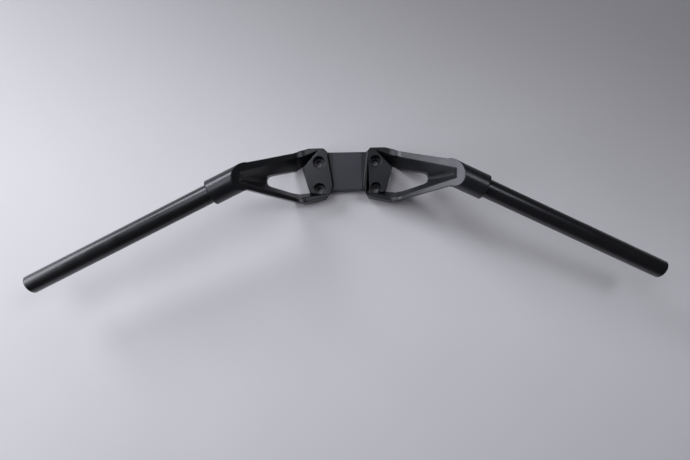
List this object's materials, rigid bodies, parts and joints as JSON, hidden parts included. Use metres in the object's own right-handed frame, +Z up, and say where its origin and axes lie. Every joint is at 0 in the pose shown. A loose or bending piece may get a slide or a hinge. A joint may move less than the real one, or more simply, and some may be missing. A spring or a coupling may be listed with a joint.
{
  "type": "handlebar riser",
  "caption": "Motorcycle handlebar with a bolt-down cast riser, windowed arms that climb outward to round collars, and straight swept-back grip tubes.",
  "frame": {"origin": "centre of the four screw holes, on the underside of the riser", "axes": "+Z up along the screws, +Y forward on the motorcycle, +X to the rider's right"},
  "size_m": [0.7794, 0.1784, 0.0952],
  "materials": {
    "riser_finish": "satin black anodised",
    "tube_finish": "satin black"
  },
  "bodies": {
    "root": {"riser": "riser_finish", "tube_left": "tube_finish", "tube_right": "tube_finish"}
  },
  "joints": []
}
